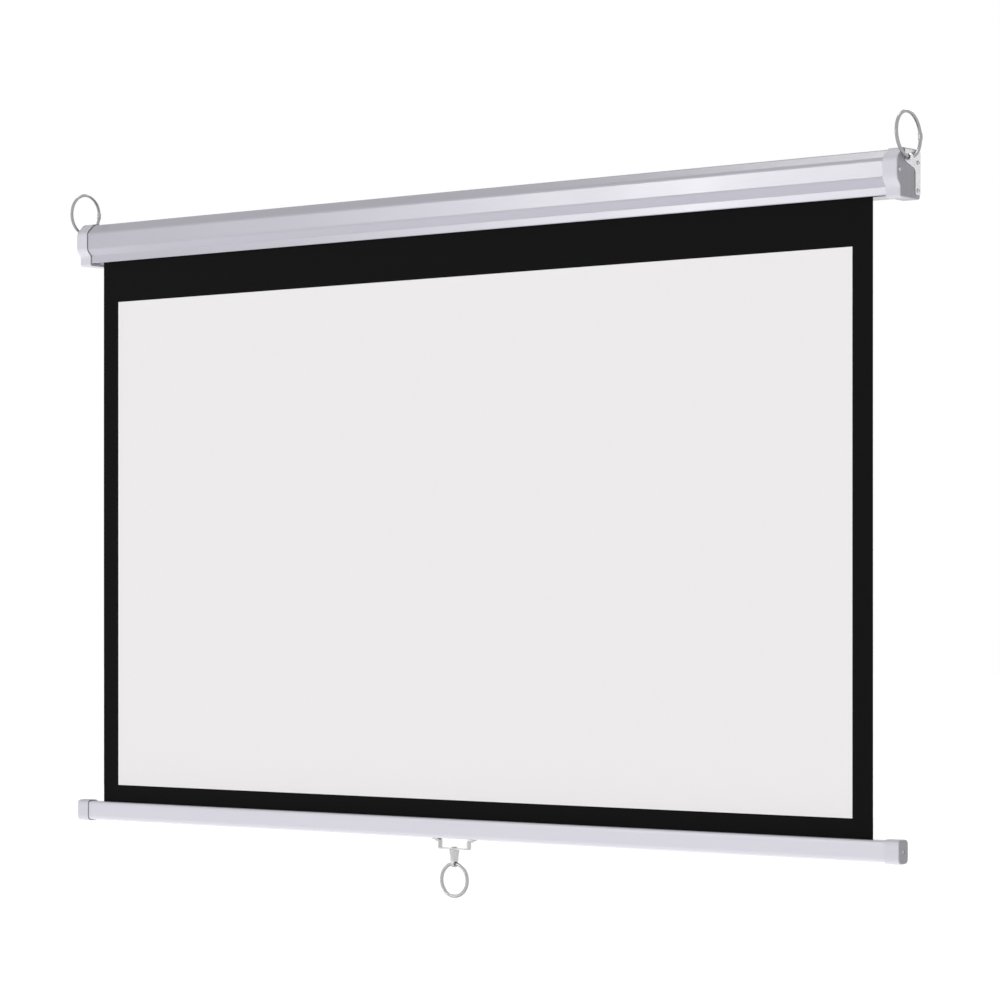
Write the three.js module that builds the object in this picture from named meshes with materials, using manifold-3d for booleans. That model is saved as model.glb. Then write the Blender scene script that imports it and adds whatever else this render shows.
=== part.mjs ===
import * as THREE from "three";
import { mergeVertices, toCreasedNormals } from "three/addons/utils/BufferGeometryUtils.js";
import Module from "manifold-3d";

const wasm = await Module();
wasm.setup();

// A pull-down projection screen with a spring roller, in a slim white case.
// Millimetres, +Z up, X along the width, the front toward -Y.
// The origin is the middle of the case's flat back face.

// Sheet: a black backing whose margins are the mask, and a white picture face on its front
const pictureWidth = 1859.6;
const pictureHeight = 1046;
const sideMask = 44;
const topMask = 88;
const bottomMask = 37;
const backingThickness = 0.25;
const faceThickness = 0.2;
const turnsLeftOnRoller = 2;

// Roller
const tubeRadius = 19;
const tubeWall = 1.2;
const tubeOverhang = 11;
const grooveMouth = 1.8;
const grooveWall = 1.3;
const fixingRodRadius = 1.6;
const fixingRodGap = 0.7;
const flangeProud = 1.3;
const flangeThickness = 3;
const stemLength = 30;
const stemNeck = 6;
const drumLength = 16;
const drumWall = 3;
const drumFloor = 2;
const idleHubRadius = 12;
const idleHubLength = 14;

// Spring shaft, spring and lock
const shaftSlack = 2;
const shaftOverhang = 4;
const tangThickness = 6;
const springWire = 2;
const springInset = 2;
const springLength = 244;
const springTurns = 26;
const collarGap = 0.8;
const collarLength = 12;
const bearingLength = 10;
const lockCoreLength = 11;
const lockNotches = 4;
const lockNotchDepth = 2.6;
const lockBallRadius = 2.5;
const lockBallCount = 2;

// Idle pin and bush
const idlePinRadius = 4;
const idlePinLength = 66;
const bushWall = 2.6;
const bushRim = 1.5;

// Case profile
const caseWall = 1.4;
const rollerRoom = 11.5;
const caseTopHeight = 19;
const caseTopDepth = 20;
const caseFrontHeight = 36;
const caseSlopeHeight = 13;
const caseLipHeight = 16;
const caseCorner = 4;
const slotFrontGap = 4.2;
const slotRearGap = 7.4;
const slotFlange = 6;
const portRadius = 3.6;
const portBore = 1.95;
const rearPortInset = 9;
const upperPortRise = 20;
const lowerPortDrop = 31;
const frontPortRise = 2;
const portSlit = 1.6;

// End caps
const capWall = 2.2;
const capClearance = 0.3;
const capLength = 31.3;
const capEndWall = 3;
const capFoot = 5;
const capRound = 2.6;
const capReach = 32;
const casePocket = 24;
const capBossRadius = 11;
const capBossLength = 22;
const capRibCount = 8;
const capRibThickness = 1.8;
const capRibReach = 29;
const capRibHeight = 5;
const screwBossRadius = 4.2;

// Hangers and rings
const hangerThickness = 1.6;
const hangerInset = 3;
const hangerStrip = 17;
const hangerShoulder = 7;
const hangerFootEdge = 8;
const hangerStep = 12;
const hangerHeadDrop = 7;
const ringLineFromBack = 47;
const eyeHeight = 26;
const eyeLength = 10;
const ringRadius = 42;
const ringWire = 6.5;
const ringEyeGap = 1.1;
const ringSleeveLength = 18;
const ringSleeveWire = 8.5;

// Screws
const screwHeadRadius = 3.8;
const screwHeadHeight = 2.4;
const screwShank = 1.75;
const screwHole = 2.3;
const hangerScrewLength = 16;
const capScrewLength = 14;
const bailScrewLength = 8;

// Weight bar
const barHeight = 40;
const barDepth = 28;
const barWall = 1.6;
const barTopCorner = 7;
const barFootCorner = 8;
const barOverhang = 1.3;
const hemRodRadius = 2.6;
const hemRodGap = 0.6;
const hemMouth = 2.4;
const hemWall = 1.5;
const hemDepth = 3;
const barCapWall = 2;
const barCapLength = 32;
const barCapEndWall = 5.4;
const barCapRecess = 3;
const barCapRound = 2.4;

// Handle
const bailWidth = 76;
const bailDrop = 21;
const bailStrap = 12;
const bailThickness = 2.6;
const bailFoot = 14;
const bailCorner = 5;
const rivetHeadRadius = 6.5;
const rivetHeadHeight = 2.4;
const rivetRadius = 3.6;
const neckRadius = 10;
const neckWaist = 8.2;
const neckLength = 22;
const tongueThickness = 7;
const tongueWall = 3;
const pullEyeDrop = 6.3;
const pullEyeGap = 0.8;
const pullRingRadius = 32.5;
const pullRingWire = 7;

// Clearances, and the overrun that every cut shares
const seatGap = 0.3;
const turnGap = 0.25;
const overrun = 2;
const weld = 0.0001;

// Facets of curves
const cornerSteps = 3;
const roundSteps = 24;
const tubeSteps = 32;
const wireSteps = 8;
const ringSteps = 44;
const springSides = 5;
const springStepsPerTurn = 8;
const creaseAngle = 0.6;

// Finishes
const finish = (color, roughness, metalness) => new THREE.MeshStandardMaterial({ color, roughness, metalness });
const casePaint = finish(0xedecf2, 0.42, 0);
const capPlastic = finish(0xe4e3ea, 0.5, 0);
const barPaint = finish(0xe8e8f0, 0.4, 0);
const hangerSteel = finish(0xd6d6dc, 0.3, 1);
const ringSteel = finish(0x9a9a9e, 0.28, 1);
const screwSteel = finish(0xb9b9bf, 0.35, 1);
const rollerAlloy = finish(0xc3c5c9, 0.4, 1);
const shaftSteel = finish(0x8d8f93, 0.4, 1);
const plugNylon = finish(0xd9d7cf, 0.6, 0);
const maskBlack = finish(0x161316, 0.85, 0);
const pictureWhite = finish(0xeceaeb, 0.9, 0);
const handleSteel = finish(0x9ea29e, 0.38, 1);

// Sizes that follow from the ones above

const sheetWidth = pictureWidth + 2 * sideMask;
const visibleDrop = topMask + pictureHeight + bottomMask;
const sheetThickness = backingThickness + faceThickness;
const woundInner = tubeRadius + turnGap;
const woundRadius = woundInner + turnsLeftOnRoller * sheetThickness;
const fullRadius = Math.sqrt(woundRadius ** 2 + (visibleDrop * sheetThickness) / Math.PI);
const flangeRadius = fullRadius + flangeProud;
const caseDepth = 2 * (flangeRadius + rollerRoom + caseWall);
const caseHeight = caseTopHeight + caseFrontHeight + caseSlopeHeight + caseLipHeight;
const caseTop = caseHeight / 2;
const caseBottom = -caseHeight / 2;
const axisY = -caseDepth / 2;
const backingBack = axisY - woundRadius - seatGap;
const backingFront = backingBack - backingThickness;
const faceFront = backingFront - faceThickness;
const lipInner = faceFront - slotFrontGap;
const lipOuter = lipInner - caseWall;
const slotRear = backingBack + slotRearGap;
const barTop = caseBottom - visibleDrop;
const barBottom = barTop - barHeight;
const barMiddle = (barTop + barBottom) / 2;
const sheetBottom = barTop - hemDepth;

const sheetHalf = sheetWidth / 2;
const capInner = sheetHalf + capReach;
const capOuter = capInner + capLength;
const capWallInner = capOuter - capEndWall;
const caseHalf = capInner + casePocket;
const tubeHalf = sheetHalf + tubeOverhang;
const barCapOuter = capOuter + barOverhang;
const barHalf = barCapOuter - barCapEndWall - seatGap;
const bossEnd = capWallInner - capBossLength;

// The tube's keyhole channel leaves the room for collar, spring and shaft, each inside the one before
const tubeInner = tubeRadius - tubeWall;
const chamberRadius = fixingRodRadius + fixingRodGap;
const chamberHeight = tubeRadius - grooveWall - chamberRadius;
const keyFloor = chamberHeight - chamberRadius - grooveWall;
const keyHalf = chamberRadius + grooveWall;
const collarRadius = keyFloor - collarGap;
const springRadius = collarRadius - springInset;
const shaftRadius = springRadius - springWire / 2 - shaftSlack;
const tangWidth = 2 * shaftRadius;

// Helpers for solids

const planeYZ = new THREE.Matrix4().makeBasis(
  new THREE.Vector3(0, 1, 0),
  new THREE.Vector3(0, 0, 1),
  new THREE.Vector3(1, 0, 0),
);
const planeXZ = new THREE.Matrix4().makeBasis(
  new THREE.Vector3(1, 0, 0),
  new THREE.Vector3(0, 0, 1),
  new THREE.Vector3(0, -1, 0),
);

// A shape drawn in (y, z), drawn out along X between two places
function alongX(shape, from, to, options = {}) {
  const settings = { depth: to - from, bevelEnabled: false, curveSegments: cornerSteps, ...options };
  return new THREE.ExtrudeGeometry(shape, settings).applyMatrix4(planeYZ).translate(from, 0, 0);
}

// A shape drawn in (x, z), drawn out along Y between two places
function alongY(shape, from, to, options = {}) {
  const settings = { depth: to - from, bevelEnabled: false, curveSegments: cornerSteps, ...options };
  return new THREE.ExtrudeGeometry(shape, settings).applyMatrix4(planeXZ).translate(0, to, 0);
}

function block([x0, x1], [y0, y1], [z0, z1]) {
  const box = new THREE.BoxGeometry(x1 - x0, y1 - y0, z1 - z0);
  return box.translate((x0 + x1) / 2, (y0 + y1) / 2, (z0 + z1) / 2);
}

function rodX(radius, from, to, y, z, steps = roundSteps) {
  const rod = new THREE.CylinderGeometry(radius, radius, to - from, steps);
  return rod.rotateZ(-Math.PI / 2).translate((from + to) / 2, y, z);
}

function rodY(radius, from, to, x, z, steps = roundSteps) {
  return new THREE.CylinderGeometry(radius, radius, to - from, steps).translate(x, (from + to) / 2, z);
}

function rodZ(radius, from, to, x, y, steps = roundSteps) {
  const rod = new THREE.CylinderGeometry(radius, radius, to - from, steps);
  return rod.rotateX(Math.PI / 2).translate(x, y, (from + to) / 2);
}

// A profile of [radius, place] pairs turned about the X axis through the roller's centre line
function turnedX(profile, steps = roundSteps) {
  const points = profile.map(([radius, place]) => new THREE.Vector2(radius, place));
  return new THREE.LatheGeometry(points, steps).rotateZ(-Math.PI / 2).translate(0, axisY, 0);
}

function toSolid(geometry) {
  const bare = geometry.clone();
  bare.deleteAttribute("normal");
  bare.deleteAttribute("uv");
  const merged = mergeVertices(bare, weld);
  const vertProperties = new Float32Array(merged.attributes.position.array);
  const triVerts = new Uint32Array(merged.index.array);
  return new wasm.Manifold(new wasm.Mesh({ numProp: 3, vertProperties, triVerts }));
}

function toGeometry(solid) {
  const mesh = solid.getMesh();
  const geometry = new THREE.BufferGeometry();
  geometry.setAttribute("position", new THREE.BufferAttribute(mesh.vertProperties, 3));
  geometry.setIndex(new THREE.BufferAttribute(mesh.triVerts, 1));
  return geometry;
}

// The first geometry with the joined ones added, and then the cuts taken away
function shaped(first, joined = [], cuts = []) {
  let solid = toSolid(first);
  for (const piece of joined) {
    solid = solid.add(toSolid(piece));
  }
  for (const piece of cuts) {
    solid = solid.subtract(toSolid(piece));
  }
  return toGeometry(solid);
}

function trimmedTo(geometry, limit) {
  return toGeometry(toSolid(geometry).intersect(toSolid(limit)));
}

function mirrored(geometry) {
  const copy = geometry.index ? geometry.toNonIndexed() : geometry.clone();
  copy.deleteAttribute("normal");
  copy.scale(-1, 1, 1);
  const position = copy.attributes.position;
  for (let i = 0; i < position.count; i += 3) {
    const second = new THREE.Vector3().fromBufferAttribute(position, i + 1);
    const third = new THREE.Vector3().fromBufferAttribute(position, i + 2);
    position.setXYZ(i + 1, third.x, third.y, third.z);
    position.setXYZ(i + 2, second.x, second.y, second.z);
  }
  return copy;
}

function part(name, geometry, material) {
  const mesh = new THREE.Mesh(toCreasedNormals(geometry, creaseAngle), material);
  mesh.name = name;
  return mesh;
}

// Moves each edge of a closed anticlockwise outline outward by its own distance
function grown(points, distances) {
  const edges = points.map(([y, z], i) => {
    const [nextY, nextZ] = points[(i + 1) % points.length];
    const length = Math.hypot(nextY - y, nextZ - z);
    const normal = [(nextZ - z) / length, (y - nextY) / length];
    return { normal, reach: normal[0] * y + normal[1] * z + distances[i] };
  });
  return points.map((point, i) => {
    const before = edges[(i + points.length - 1) % points.length];
    const after = edges[i];
    const cross = before.normal[0] * after.normal[1] - before.normal[1] * after.normal[0];
    const y = (before.reach * after.normal[1] - after.reach * before.normal[1]) / cross;
    const z = (after.reach * before.normal[0] - before.reach * after.normal[0]) / cross;
    return [y, z];
  });
}

// A closed shape through the points, with each corner rounded by its radius
function rounded(points, radii) {
  const at = (i) => new THREE.Vector2(...points[(i + points.length) % points.length]);
  const shape = new THREE.Shape();
  points.forEach((point, i) => {
    const corner = at(i);
    const back = at(i - 1).sub(corner);
    const ahead = at(i + 1).sub(corner);
    const radius = Math.max(Math.min(radii[i], back.length() / 2, ahead.length() / 2), 0);
    const start = corner.clone().add(back.setLength(radius));
    const end = corner.clone().add(ahead.setLength(radius));
    if (i === 0) {
      shape.moveTo(start.x, start.y);
    } else {
      shape.lineTo(start.x, start.y);
    }
    if (radius > 0) {
      shape.quadraticCurveTo(corner.x, corner.y, end.x, end.y);
    }
  });
  shape.closePath();
  return shape;
}

function withHole(shape, hole) {
  shape.holes.push(hole);
  return shape;
}

// Case profile: back, top, chamfer, front, slope, lip, bottom
const casePoints = [
  [0, caseBottom],
  [0, caseTop],
  [-caseDepth + caseTopDepth, caseTop],
  [-caseDepth, caseTop - caseTopHeight],
  [-caseDepth, caseBottom + caseLipHeight + caseSlopeHeight],
  [lipOuter, caseBottom + caseLipHeight],
  [lipOuter, caseBottom],
];
const caseRadii = [caseCorner, caseCorner, caseCorner, caseCorner, caseCorner, caseWall, caseWall];

function caseShape(distance, footDistance = distance) {
  const distances = casePoints.map((point, i) => (i === casePoints.length - 1 ? footDistance : distance));
  return rounded(grown(casePoints, distances), caseRadii.map((radius) => radius + distance));
}

// Screw ports run the length of the case: two on webs at the back for the hangers, one at the front for the cap
const frontPortInset = caseWall / 2 + portRadius;
const portPlaces = {
  upper: [-rearPortInset, upperPortRise],
  lower: [-rearPortInset, -lowerPortDrop],
  front: [-caseDepth + frontPortInset, frontPortRise],
};

function caseShell() {
  const shell = alongX(withHole(caseShape(0), caseShape(-caseWall)), -caseHalf, caseHalf);
  const ports = Object.values(portPlaces).map(([y, z]) => rodX(portRadius, -caseHalf, caseHalf, y, z, 12));
  const webs = [portPlaces.upper, portPlaces.lower].map(([y, z]) =>
    block([-caseHalf, caseHalf], [y, -caseWall / 2], [z - caseWall / 2, z + caseWall / 2]));
  const flange = block(
    [-caseHalf, caseHalf],
    [slotRear, slotRear + caseWall],
    [caseBottom, caseBottom + slotFlange],
  );
  const slot = block(
    [-caseHalf - overrun, caseHalf + overrun],
    [lipInner, slotRear],
    [caseBottom - overrun, caseBottom + caseWall + overrun],
  );
  const bores = Object.values(portPlaces).map(([y, z]) =>
    rodX(portBore, -caseHalf - overrun, caseHalf + overrun, y, z, 10));
  const slits = Object.values(portPlaces).map(([y, z]) => {
    const inward = Math.sign(axisY - y);
    const end = y + inward * (portRadius + overrun);
    return block(
      [-caseHalf - overrun, caseHalf + overrun],
      [Math.min(y, end), Math.max(y, end)],
      [z - portSlit / 2, z + portSlit / 2],
    );
  });
  return shaped(shell, [...webs, ...ports, flange], [slot, ...bores, ...slits]);
}

// A moulded cap for the right end: sleeve, end wall, stop ledge, bearing boss, ribs and screw bosses.
// It stops level with the case's back, so that both lie on a wall.
const capProud = capClearance + capWall;
const capTop = caseTop + capProud;

function endCap(socket) {
  const outline = caseShape(capProud, capFoot);
  const body = alongX(outline, capInner - capRound, capOuter - capRound, {
    bevelEnabled: true,
    bevelThickness: capRound,
    bevelSize: capRound,
    bevelOffset: -capRound,
    bevelSegments: 3,
  });
  const room = 2 * caseDepth;
  const trim = block([capInner - 2 * capRound - overrun, capInner], [-room, room], [-room, room]);
  const pocket = alongX(caseShape(capClearance), capInner - overrun, caseHalf + capClearance);
  const cavity = alongX(caseShape(-capProud), caseHalf, capWallInner);
  const boss = rodX(capBossRadius, bossEnd, capWallInner + seatGap, axisY, 0);
  const ribs = Array.from({ length: capRibCount }, (unused, i) => capRib((2 * Math.PI * i) / capRibCount));
  const screwBosses = Object.values(portPlaces).map(([y, z]) =>
    rodX(screwBossRadius, caseHalf + capClearance, capWallInner + seatGap, y, z, 14));
  const holes = Object.values(portPlaces).map(([y, z]) =>
    rodX(screwHole, caseHalf - overrun, capOuter + overrun, y, z, 12));
  const wall = block([capInner - room, capOuter + room], [0, room], [-room, room]);
  const hollow = shaped(body, [], [trim, wall, pocket, cavity]);
  return shaped(hollow, [boss, ...ribs, ...screwBosses], [socket, ...holes]);
}

// A web from the boss toward the sleeve, with a sloping edge, at an angle about the roller's axis
function capRib(angle) {
  const web = new THREE.Shape([
    new THREE.Vector2(capWallInner + seatGap, 0),
    new THREE.Vector2(capWallInner + seatGap, capRibReach),
    new THREE.Vector2(capWallInner - capRibHeight, capRibReach),
    new THREE.Vector2(bossEnd + capRibHeight, capBossRadius),
    new THREE.Vector2(bossEnd + capRibHeight, 0),
  ]);
  return alongY(web, -capRibThickness / 2, capRibThickness / 2).rotateX(angle).translate(0, axisY, 0);
}

// The left cap holds the shaft's flat tang, and the right cap holds the round idle pin
const tangSocket = block(
  [bossEnd - overrun, capWallInner],
  [axisY - tangWidth / 2 - seatGap, axisY + tangWidth / 2 + seatGap],
  [-tangThickness / 2 - seatGap, tangThickness / 2 + seatGap],
);
const pinSocket = rodX(idlePinRadius + seatGap, bossEnd - overrun, capWallInner, axisY, 0);

// Hanger for the right end: a pressed plate trimmed to the cap's face, with a rolled eye for the ring
const plateInner = capOuter + seatGap;
const plateOuter = plateInner + hangerThickness;
const eyeBore = ringWire / 2 + ringEyeGap;
const eyeX = plateOuter + eyeBore;

function hanger() {
  const rear = capProud - hangerInset;
  const stripFront = rear - hangerStrip;
  const headFront = -ringLineFromBack - hangerShoulder;
  const foot = -lowerPortDrop - hangerFootEdge;
  const head = eyeHeight - hangerHeadDrop;
  const outline = rounded(
    [
      [rear, foot],
      [rear, capTop],
      [headFront, capTop],
      [headFront, head],
      [stripFront, head - hangerStep],
      [stripFront, foot],
    ],
    [caseCorner, 0, 0, caseCorner, hangerShoulder, caseCorner],
  );
  const plate = alongX(outline, plateInner, plateOuter);
  const face = alongX(caseShape(capProud - hangerInset), plateInner - overrun, plateOuter + overrun);
  const low = -ringLineFromBack - eyeLength / 2;
  const eye = rodY(eyeBore + hangerThickness, low, low + eyeLength, eyeX, eyeHeight, 20);
  const bore = rodY(eyeBore, low - overrun, low + eyeLength + overrun, eyeX, eyeHeight, 20);
  const clear = block(
    [capOuter - 2 * eyeBore, plateInner],
    [low - overrun, low + eyeLength + overrun],
    [eyeHeight - 2 * eyeBore, eyeHeight + 2 * eyeBore],
  );
  const holes = [portPlaces.upper, portPlaces.lower].map(([y, z]) =>
    rodX(screwHole, plateInner - overrun, plateOuter + overrun, y, z, 12));
  return shaped(trimmedTo(plate, face), [eye], [bore, clear, ...holes]);
}

// The ring leans a little inward and rests on the top of its hanger
const ringLean = Math.atan((ringEyeGap - seatGap) / (capTop - hangerInset - eyeHeight));

// The ring's ends meet at the rear in a short sleeve
function hangingRing() {
  const wire = new THREE.TorusGeometry(ringRadius, ringWire / 2, wireSteps, ringSteps);
  const sleeve = new THREE.CapsuleGeometry(ringSleeveWire / 2, ringSleeveLength - ringSleeveWire, 2, 10);
  return shaped(wire, [sleeve.translate(ringRadius, 0, 0)]).translate(0, ringRadius, 0).applyMatrix4(planeYZ);
}

// Pan head screw along +X with the underside of its head at zero
function screw(length) {
  const edge = screwHeadHeight / 2;
  const profile = [
    [0, -length],
    [screwShank / 2, -length],
    [screwShank, -length + screwShank],
    [screwShank, 0],
    [screwHeadRadius, 0],
    [screwHeadRadius, edge],
    [screwHeadRadius - edge, screwHeadHeight],
    [0, screwHeadHeight],
  ].map(([radius, place]) => new THREE.Vector2(radius, place));
  return new THREE.LatheGeometry(profile, 12).rotateZ(-Math.PI / 2);
}

function screwPart(name, length, direction, place) {
  const mesh = part(name, screw(length), screwSteel);
  mesh.quaternion.setFromUnitVectors(new THREE.Vector3(1, 0, 0), direction);
  mesh.position.set(...place);
  return mesh;
}

// Roller tube with a keyhole groove along its top for the fixing rod
function rollerTube() {
  const bore = new THREE.Path().absarc(0, 0, tubeInner, 0, 2 * Math.PI, true);
  const ring = new THREE.Shape().absarc(0, 0, tubeRadius, 0, 2 * Math.PI, false);
  const tube = alongX(withHole(ring, bore), -tubeHalf, tubeHalf, { curveSegments: tubeSteps });
  const channel = block([-tubeHalf, tubeHalf], [-keyHalf, keyHalf], [keyFloor, tubeInner]);
  const past = tubeHalf + overrun;
  const chamber = rodX(chamberRadius, -past, past, 0, chamberHeight, 12);
  const mouth = block([-past, past], [-grooveMouth / 2, grooveMouth / 2], [chamberHeight, tubeRadius + overrun]);
  return shaped(tube.translate(0, axisY, 0), [channel.translate(0, axisY, 0)], [
    chamber.translate(0, axisY, 0),
    mouth.translate(0, axisY, 0),
  ]);
}

// The keyway that clears the groove's channel in what is plugged into the tube
function keyway(from, to) {
  return block(
    [from, to],
    [axisY - keyHalf - seatGap, axisY + keyHalf + seatGap],
    [keyFloor - seatGap, tubeRadius + overrun],
  );
}

const stemRadius = tubeInner - seatGap;
const shaftBore = shaftRadius + turnGap;
const flangeFrom = tubeHalf + seatGap;
const flangeTo = flangeFrom + flangeThickness;

// Plug for the spring end, drawn for the right side: stem in the tube, flange, and the lock's drum.
// The drum is as wide as the tube, and the core leaves a ball's width inside it.
const drumRadius = tubeRadius;
const lockCoreRadius = drumRadius - drumWall - 2 * lockBallRadius - 2 * seatGap;
const drumEnd = flangeTo + drumLength;
const drumFloorAt = flangeTo + drumFloor;
const stemEnd = tubeHalf - stemLength;

function springPlug() {
  const plug = turnedX([
    [shaftBore, stemEnd],
    [stemRadius, stemEnd],
    [stemRadius, flangeFrom],
    [flangeRadius, flangeFrom],
    [flangeRadius, flangeTo],
    [drumRadius, flangeTo],
    [drumRadius, drumEnd],
    [drumRadius - drumWall, drumEnd],
    [drumRadius - drumWall, drumFloorAt],
    [shaftBore, drumFloorAt],
    [shaftBore, stemEnd],
  ]);
  return mirrored(shaped(plug, [], [keyway(stemEnd - overrun, flangeFrom)]));
}

// Ratchet-shaped core, drawn in (y, z) round the shaft
function lockCore() {
  const shape = new THREE.Shape();
  const step = (2 * Math.PI) / lockNotches;
  const notchShare = 0.3;
  for (let i = 0; i < lockNotches; i += 1) {
    const start = i * step;
    const end = start + step * (1 - notchShare);
    shape.absarc(0, 0, lockCoreRadius, start, end, false);
    const low = lockCoreRadius - lockNotchDepth;
    shape.lineTo(low * Math.cos(end), low * Math.sin(end));
  }
  shape.closePath();
  const hole = new THREE.Path().absarc(0, 0, shaftBore, 0, 2 * Math.PI, true);
  const from = -(drumFloorAt + seatGap + lockCoreLength);
  const core = alongX(withHole(shape, hole), from, from + lockCoreLength, { curveSegments: 6 });
  return core.translate(0, axisY, 0);
}

const lockCoreMiddle = -(drumFloorAt + seatGap + lockCoreLength / 2);
const lockBallLine = lockCoreRadius + seatGap + lockBallRadius;

// Plug for the idle end: stem in the tube, flange and hub, bored for the bush
const bushRadius = idlePinRadius + turnGap + bushWall;
const bushBore = idlePinRadius + turnGap;
const hubEnd = flangeTo + idleHubLength;

function idlePlug() {
  const plug = turnedX([
    [bushRadius + turnGap, stemEnd + stemNeck],
    [stemRadius, stemEnd + stemNeck],
    [stemRadius, flangeFrom],
    [flangeRadius, flangeFrom],
    [flangeRadius, flangeTo],
    [idleHubRadius, flangeTo],
    [idleHubRadius, hubEnd],
    [bushRadius + turnGap, hubEnd],
    [bushRadius + turnGap, stemEnd + stemNeck],
  ]);
  return shaped(plug, [], [keyway(stemEnd, flangeFrom)]);
}

function idleBush() {
  const rim = hubEnd + seatGap;
  return turnedX([
    [bushBore, stemEnd + stemNeck],
    [bushRadius, stemEnd + stemNeck],
    [bushRadius, rim],
    [idleHubRadius, rim],
    [idleHubRadius, rim + bushRim],
    [bushBore, rim + bushRim],
    [bushBore, stemEnd + stemNeck],
  ]);
}

// Turns of sheet left on the roller, ending where the sheet hangs down at the front
function sheetTurns() {
  const ring = new THREE.Shape().absarc(0, 0, woundRadius, 0, 2 * Math.PI, false);
  const hole = new THREE.Path().absarc(0, 0, woundInner, 0, 2 * Math.PI, true);
  const wrap = alongX(withHole(ring, hole), -sheetHalf, sheetHalf, { curveSegments: tubeSteps });
  return wrap.translate(0, axisY, 0);
}

// Spring shaft on the left: a flat tang in the cap, then a round shaft into the tube
const tangTip = -(capWallInner - seatGap);
const tangEnd = -(bossEnd - seatGap);

function springShaft() {
  const round = rodX(shaftRadius, tangEnd, shaftEnd, axisY, 0);
  const tang = block(
    [tangTip, tangEnd + seatGap],
    [axisY - tangWidth / 2, axisY + tangWidth / 2],
    [-tangThickness / 2, tangThickness / 2],
  );
  return shaped(round, [tang]);
}

class Helix extends THREE.Curve {
  constructor(start, length, radius, turns) {
    super();
    Object.assign(this, { start, length, radius, turns });
  }

  getPoint(share, target = new THREE.Vector3()) {
    const angle = 2 * Math.PI * this.turns * share;
    const x = this.start + share * this.length;
    return target.set(x, axisY + this.radius * Math.cos(angle), this.radius * Math.sin(angle));
  }
}

const springFrom = -stemEnd + seatGap + springWire / 2;
const springTo = springFrom + springLength;
// The least distance between wire surfaces half a turn or more apart, measured on points of the line
function leastTurnGap(line) {
  const perTurn = 3 * springStepsPerTurn;
  const points = line.getPoints(springTurns * perTurn);
  let least = Infinity;
  for (let i = 0; i < points.length; i += 1) {
    for (let j = i + perTurn / 2; j < Math.min(i + 2 * perTurn, points.length); j += 1) {
      least = Math.min(least, points[i].distanceTo(points[j]));
    }
  }
  return least - springWire;
}

function torsionSpring() {
  const section = new THREE.Shape();
  for (let i = 0; i < springSides; i += 1) {
    const angle = (2 * Math.PI * i) / springSides;
    const point = [(springWire / 2) * Math.cos(angle), (springWire / 2) * Math.sin(angle)];
    if (i === 0) {
      section.moveTo(...point);
    } else {
      section.lineTo(...point);
    }
  }
  section.closePath();
  const extrudePath = new Helix(springFrom, springLength, springRadius, springTurns);
  console.log(`least gap between the spring's turns: ${leastTurnGap(extrudePath).toFixed(2)} mm`);
  const steps = springTurns * springStepsPerTurn;
  return new THREE.ExtrudeGeometry(section, { extrudePath, steps, bevelEnabled: false });
}

function ringOnShaft(from, length, radius, bore) {
  return turnedX([
    [bore, from],
    [radius, from],
    [radius, from + length],
    [bore, from + length],
    [bore, from],
  ]);
}

const collarFrom = springTo + springWire / 2 + seatGap;
const bearingFrom = collarFrom + collarLength + seatGap;
const shaftEnd = bearingFrom + bearingLength + shaftOverhang;

// Weight bar: a hollow rounded profile with a keyhole groove on top and a screw port in a middle web
const barY = (backingBack + faceFront) / 2;
const barPoints = [
  [barY + barDepth / 2, barBottom],
  [barY + barDepth / 2, barTop],
  [barY - barDepth / 2, barTop],
  [barY - barDepth / 2, barBottom],
];
const barRadii = [barFootCorner, barTopCorner, barTopCorner, barFootCorner];

function barShape(distance) {
  const distances = barPoints.map(() => distance);
  return rounded(grown(barPoints, distances), barRadii.map((radius) => radius + distance));
}

const hemChamber = hemRodRadius + hemRodGap;
const hemRodZ = sheetBottom - seatGap - hemRodRadius;

function weightBar() {
  const past = barHalf + overrun;
  const tube = alongX(withHole(barShape(0), barShape(-barWall)), -barHalf, barHalf);
  const channelHalf = hemChamber + hemWall;
  const channel = block(
    [-barHalf, barHalf],
    [barY - channelHalf, barY + channelHalf],
    [hemRodZ - channelHalf, barTop - barWall / 2],
  );
  const webHalf = barDepth / 2 - barWall / 2;
  const web = block([-barHalf, barHalf], [barY - webHalf, barY + webHalf], [
    barMiddle - barWall / 2,
    barMiddle + barWall / 2,
  ]);
  const port = rodX(portRadius, -barHalf, barHalf, barY, barMiddle, 12);
  const chamber = rodX(hemChamber, -past, past, barY, hemRodZ, 14);
  const mouth = block([-past, past], [barY - hemMouth / 2, barY + hemMouth / 2], [hemRodZ, barTop + overrun]);
  const bore = rodX(portBore, -past, past, barY, barMiddle, 10);
  const screwHoles = bailScrewPlaces.map((x) =>
    rodZ(portBore, barBottom - overrun, barBottom + barWall + overrun, x, barY, 10));
  return shaped(tube, [channel, web, port], [chamber, mouth, bore, ...screwHoles]);
}

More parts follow.
